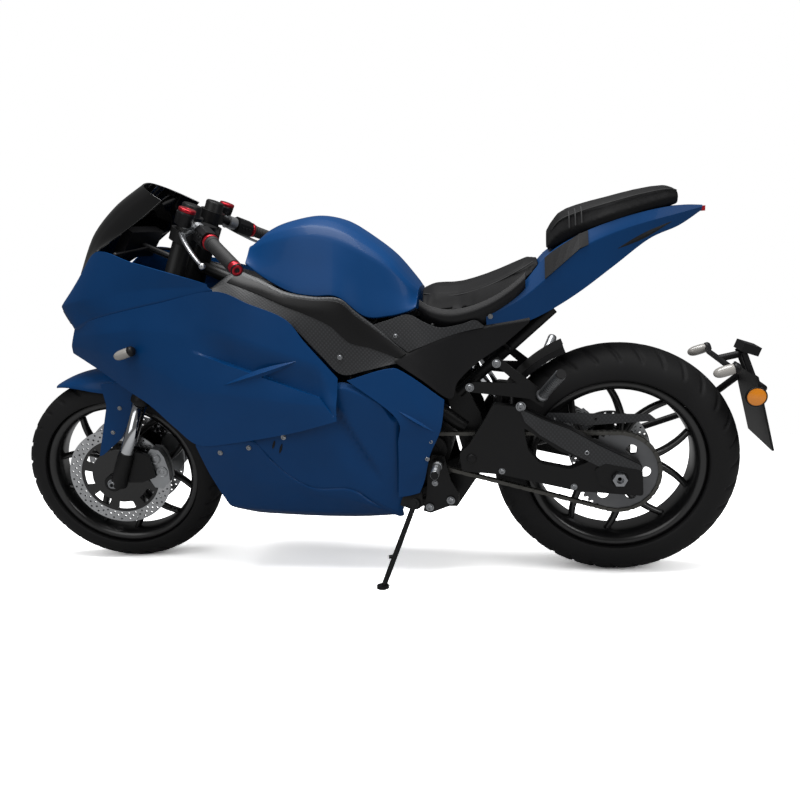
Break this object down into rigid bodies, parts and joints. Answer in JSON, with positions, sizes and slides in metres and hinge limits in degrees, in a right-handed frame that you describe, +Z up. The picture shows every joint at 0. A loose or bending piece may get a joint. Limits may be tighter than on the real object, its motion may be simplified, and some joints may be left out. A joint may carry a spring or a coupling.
{
  "type": "electric sport motorcycle",
  "caption": "Electric sport motorcycle with full fairing, stepped seat, chain final drive and cast wheels, parked leaning on its side stand with the bars turned left",
  "frame": {"origin": "on the road under the middle of the parked machine's bounding box", "axes": "X to the rear along the machine, the nose pointing to -X; Y to the machine's right; Z up from the road"},
  "size_m": [2.0814, 0.6248, 1.0995],
  "materials": {
    "blue_paint": "deep blue gloss paint on moulded panels",
    "black_paint": "satin black paint on metal",
    "carbon_trim": "charcoal woven-look trim",
    "black_plastic": "black grained plastic",
    "dark_screen": "black tinted screen",
    "clear_lens": "clear lamp lens",
    "red_lens": "red lamp lens",
    "amber_lens": "amber lens",
    "leather": "black grained seat cover",
    "tyre_rubber": "black tyre rubber",
    "grip_rubber": "ribbed black rubber",
    "steel": "machined steel",
    "cast_alloy": "bright cast aluminium"
  },
  "bodies": {
    "chassis": {"frame": "black_paint", "battery_pack": "black_plastic", "drive_motor": "black_paint", "front_cowl": "blue_paint", "headlamps": "clear_lens", "windscreen": "dark_screen", "cockpit_trim": "black_plastic", "instrument_pod": "black_plastic", "side_fairing_left": "blue_paint", "side_fairing_right": "blue_paint", "inner_panel_left": "blue_paint", "inner_panel_right": "blue_paint", "rear_panel_left": "blue_paint", "rear_panel_right": "blue_paint", "belly_pan": "blue_paint", "trim_panel_left": "carbon_trim", "trim_panel_right": "carbon_trim", "side_cover_left": "carbon_trim", "side_cover_right": "carbon_trim", "frame_cover_left": "black_plastic", "frame_cover_right": "black_plastic", "tank": "blue_paint", "rider_seat": "leather", "pillion_seat": "leather", "tail_cowl": "blue_paint", "tail_lamp": "red_lens", "tail_vents": "black_plastic", "indicators": "amber_lens", "swingarm": "black_paint", "rear_axle": "steel", "chain": "steel", "chain_guard": "carbon_trim", "rear_hugger": "black_plastic", "rear_shock": "cast_alloy", "rear_caliper": "cast_alloy", "rider_pegs": "black_paint", "pillion_pegs": "black_paint", "stand_bracket": "black_paint", "plate_hanger": "black_plastic", "reflectors": "amber_lens", "panel_stays": "black_paint"},
    "steering": {"fork_legs": "cast_alloy", "fork_yokes": "black_paint", "handlebars": "black_paint", "grips": "grip_rubber", "bar_controls": "cast_alloy", "front_fender": "blue_paint", "front_calipers": "cast_alloy", "front_axle": "steel"},
    "front_wheel": {"front_tyre": "tyre_rubber", "front_rim": "black_paint", "front_discs": "steel"},
    "rear_wheel": {"rear_tyre": "tyre_rubber", "rear_rim": "black_paint", "rear_disc": "steel", "rear_sprocket": "steel"},
    "side_stand": {"side_stand": "black_paint"}
  },
  "joints": [
    {"name": "steering", "type": "hinge", "parent": "chassis", "child": "steering", "pos_m": [-0.50805, 0.00474, 0.71456], "axis": [0.4213, -0.148, 0.8947], "range_deg": [-36, 18]},
    {"name": "front_wheel", "type": "hinge", "parent": "steering", "child": "front_wheel", "pos_m": [-0.75011, 0.06952, 0.28681], "axis": [-0.1421, 0.9636, 0.2263], "continuous": true},
    {"name": "rear_wheel", "type": "hinge", "parent": "chassis", "child": "rear_wheel", "pos_m": [0.67543, 0.07188, 0.31072], "axis": [-0.0002, 0.9866, 0.1633], "continuous": true},
    {"name": "side_stand", "type": "hinge", "parent": "chassis", "child": "side_stand", "pos_m": [0.15956, -0.06714, 0.21906], "axis": [-0.0002, -0.987, 0.1609], "range_deg": [0, 100]}
  ]
}
